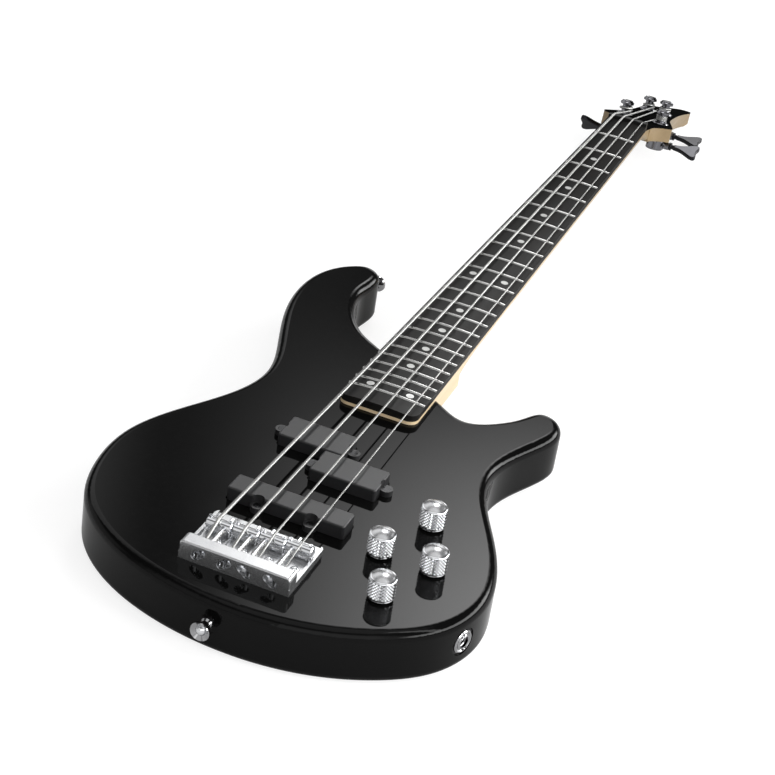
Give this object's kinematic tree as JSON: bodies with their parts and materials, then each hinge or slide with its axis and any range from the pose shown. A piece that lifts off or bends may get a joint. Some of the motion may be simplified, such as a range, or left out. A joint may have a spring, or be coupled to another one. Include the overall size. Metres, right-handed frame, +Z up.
{
  "type": "electric bass guitar",
  "caption": "Solid-body electric bass guitar with a bolted neck, tilted headstock with open tuning posts, split and single pickups, adjustable bridge and turning control knobs.",
  "frame": {"origin": "on the flat back of the body, on the centre line, under the nominal bridge line of the scale", "axes": "+Y along the neck to the headstock, +X to the treble side, +Z up out of the front of the body"},
  "size_m": [0.3031, 1.1609, 0.0797],
  "materials": {
    "body_lacquer": "gloss black lacquer over wood",
    "maple": "satin clear finish",
    "dark_board": "oiled, near black",
    "head_black": "gloss black",
    "chrome": "polished chrome plate",
    "nickel_silver": "polished wire",
    "string_steel": "wound steel",
    "steel": "plain steel",
    "black_plastic": "satin black moulding",
    "nut_black": "dull black",
    "white_inlay": "pearl white",
    "coil": "enamelled winding",
    "dark_chrome": "dark polished plate",
    "black_steel": "blackened screws",
    "pot_metal": "pressed metal",
    "circuit_board": "green laminate",
    "battery_case": "plain dark sleeve"
  },
  "bodies": {
    "instrument": {"body": "body_lacquer", "control_cover": "black_plastic", "neck": "maple", "headstock_overlay": "head_black", "fingerboard": "dark_board", "frets": "nickel_silver", "fret_dots": "white_inlay", "nut": "nut_black", "truss_rod": "steel", "truss_rod_cover": "head_black", "small_screws": "chrome", "neck_plate": "chrome", "neck_screws": "chrome", "tuner_housings": "dark_chrome", "tuner_bushings": "dark_chrome", "string_ball_ends": "chrome", "bridge": "chrome", "bridge_screws": "chrome", "intonation_springs": "steel", "split_pickup_covers": "black_plastic", "single_pickup_cover": "black_plastic", "pickup_coils": "coil", "pickup_screws": "black_steel", "potentiometers": "pot_metal", "pot_nuts": "chrome", "strap_buttons": "chrome", "strap_button_screws": "chrome", "output_jack": "chrome", "jack_nut": "chrome", "preamp_board": "circuit_board", "battery": "battery_case", "string_e": "string_steel", "string_a": "string_steel", "string_d": "string_steel", "string_g": "string_steel"},
    "tuner_key_e": {"tuner_key_e": "dark_chrome"},
    "tuner_post_e": {"tuner_post_e": "dark_chrome"},
    "intonation_screw_e": {"intonation_screw_e": "chrome"},
    "saddle_e": {"saddle_e": "chrome", "height_screws_e": "steel"},
    "tuner_key_a": {"tuner_key_a": "dark_chrome"},
    "tuner_post_a": {"tuner_post_a": "dark_chrome"},
    "intonation_screw_a": {"intonation_screw_a": "chrome"},
    "saddle_a": {"saddle_a": "chrome", "height_screws_a": "steel"},
    "tuner_key_d": {"tuner_key_d": "dark_chrome"},
    "tuner_post_d": {"tuner_post_d": "dark_chrome"},
    "intonation_screw_d": {"intonation_screw_d": "chrome"},
    "saddle_d": {"saddle_d": "chrome", "height_screws_d": "steel"},
    "tuner_key_g": {"tuner_key_g": "dark_chrome"},
    "tuner_post_g": {"tuner_post_g": "dark_chrome"},
    "intonation_screw_g": {"intonation_screw_g": "chrome"},
    "saddle_g": {"saddle_g": "chrome", "height_screws_g": "steel"},
    "knob_volume": {"knob_volume": "chrome"},
    "knob_blend": {"knob_blend": "chrome"},
    "knob_treble": {"knob_treble": "chrome"},
    "knob_bass": {"knob_bass": "chrome"}
  },
  "joints": [
    {"name": "tuner_key_turn_e", "type": "hinge", "parent": "instrument", "child": "tuner_key_e", "pos_m": [-0.018, 0.93079, 0.00726], "axis": [-1, 0, 0], "continuous": true, "deforming": ["string_e"]},
    {"name": "tuner_post_turn_e", "type": "hinge", "parent": "instrument", "child": "tuner_post_e", "pos_m": [-0.018, 0.92694, 0.02849], "axis": [0, 0.2334, 0.9724], "continuous": true, "deforming": ["string_e"]},
    {"name": "intonation_turn_e", "type": "hinge", "parent": "instrument", "child": "intonation_screw_e", "pos_m": [-0.0241, -0.043, 0.0485], "axis": [0, 1, 0], "range_deg": [-4000, 2400], "deforming": ["string_e", "intonation_springs"]},
    {"name": "saddle_slide_e", "type": "slide", "parent": "instrument", "child": "saddle_e", "axis": [0, 1, 0], "range_m": [-0.003, 0.005], "deforming": ["string_e", "intonation_springs"]},
    {"name": "tuner_key_turn_a", "type": "hinge", "parent": "instrument", "child": "tuner_key_a", "pos_m": [-0.009, 1.0008, -0.00955], "axis": [-1, 0, 0], "continuous": true, "deforming": ["string_a"]},
    {"name": "tuner_post_turn_a", "type": "hinge", "parent": "instrument", "child": "tuner_post_a", "pos_m": [-0.009, 0.99695, 0.01168], "axis": [0, 0.2334, 0.9724], "continuous": true, "deforming": ["string_a"]},
    {"name": "intonation_turn_a", "type": "hinge", "parent": "instrument", "child": "intonation_screw_a", "pos_m": [-0.0051, -0.043, 0.0485], "axis": [0, 1, 0], "range_deg": [-4000, 2400], "deforming": ["string_a", "intonation_springs"]},
    {"name": "saddle_slide_a", "type": "slide", "parent": "instrument", "child": "saddle_a", "axis": [0, 1, 0], "range_m": [-0.003, 0.005], "deforming": ["string_a", "intonation_springs"]},
    {"name": "tuner_key_turn_d", "type": "hinge", "parent": "instrument", "child": "tuner_key_d", "pos_m": [0.0096, 1.0008, -0.00955], "axis": [1, 0, 0], "continuous": true, "deforming": ["string_d"]},
    {"name": "tuner_post_turn_d", "type": "hinge", "parent": "instrument", "child": "tuner_post_d", "pos_m": [0.0096, 0.99695, 0.01168], "axis": [0, 0.2334, 0.9724], "continuous": true, "deforming": ["string_d"]},
    {"name": "intonation_turn_d", "type": "hinge", "parent": "instrument", "child": "intonation_screw_d", "pos_m": [0.0051, -0.043, 0.0485], "axis": [0, 1, 0], "range_deg": [-4000, 2400], "deforming": ["string_d", "intonation_springs"]},
    {"name": "saddle_slide_d", "type": "slide", "parent": "instrument", "child": "saddle_d", "axis": [0, 1, 0], "range_m": [-0.003, 0.005], "deforming": ["string_d", "intonation_springs"]},
    {"name": "tuner_key_turn_g", "type": "hinge", "parent": "instrument", "child": "tuner_key_g", "pos_m": [0.0215, 0.93079, 0.00726], "axis": [1, 0, 0], "continuous": true, "deforming": ["string_g"]},
    {"name": "tuner_post_turn_g", "type": "hinge", "parent": "instrument", "child": "tuner_post_g", "pos_m": [0.0215, 0.92694, 0.02849], "axis": [0, 0.2334, 0.9724], "continuous": true, "deforming": ["string_g"]},
    {"name": "intonation_turn_g", "type": "hinge", "parent": "instrument", "child": "intonation_screw_g", "pos_m": [0.0241, -0.043, 0.0485], "axis": [0, 1, 0], "range_deg": [-4000, 2400], "deforming": ["string_g", "intonation_springs"]},
    {"name": "saddle_slide_g", "type": "slide", "parent": "instrument", "child": "saddle_g", "axis": [0, 1, 0], "range_m": [-0.003, 0.005], "deforming": ["string_g", "intonation_springs"]},
    {"name": "knob_turn_volume", "type": "hinge", "parent": "instrument", "child": "knob_volume", "pos_m": [0.091, 0.0805, 0.04], "axis": [0, 0, 1], "range_deg": [-150, 150]},
    {"name": "knob_turn_blend", "type": "hinge", "parent": "instrument", "child": "knob_blend", "pos_m": [0.0725, 0.0305, 0.04], "axis": [0, 0, 1], "range_deg": [-150, 150]},
    {"name": "knob_turn_treble", "type": "hinge", "parent": "instrument", "child": "knob_treble", "pos_m": [0.111, 0.0315, 0.04], "axis": [0, 0, 1], "range_deg": [-150, 150]},
    {"name": "knob_turn_bass", "type": "hinge", "parent": "instrument", "child": "knob_bass", "pos_m": [0.092, -0.015, 0.04], "axis": [0, 0, 1], "range_deg": [-150, 150]}
  ],
  "couplings": [
    {"joint": "tuner_post_turn_e", "follows": "tuner_key_turn_e", "ratio": -0.05},
    {"joint": "intonation_turn_e", "follows": "saddle_slide_e", "rad_per_m": -13963},
    {"joint": "tuner_post_turn_a", "follows": "tuner_key_turn_a", "ratio": -0.05},
    {"joint": "intonation_turn_a", "follows": "saddle_slide_a", "rad_per_m": -13963},
    {"joint": "tuner_post_turn_d", "follows": "tuner_key_turn_d", "ratio": 0.05},
    {"joint": "intonation_turn_d", "follows": "saddle_slide_d", "rad_per_m": -13963},
    {"joint": "tuner_post_turn_g", "follows": "tuner_key_turn_g", "ratio": 0.05},
    {"joint": "intonation_turn_g", "follows": "saddle_slide_g", "rad_per_m": -13963}
  ]
}
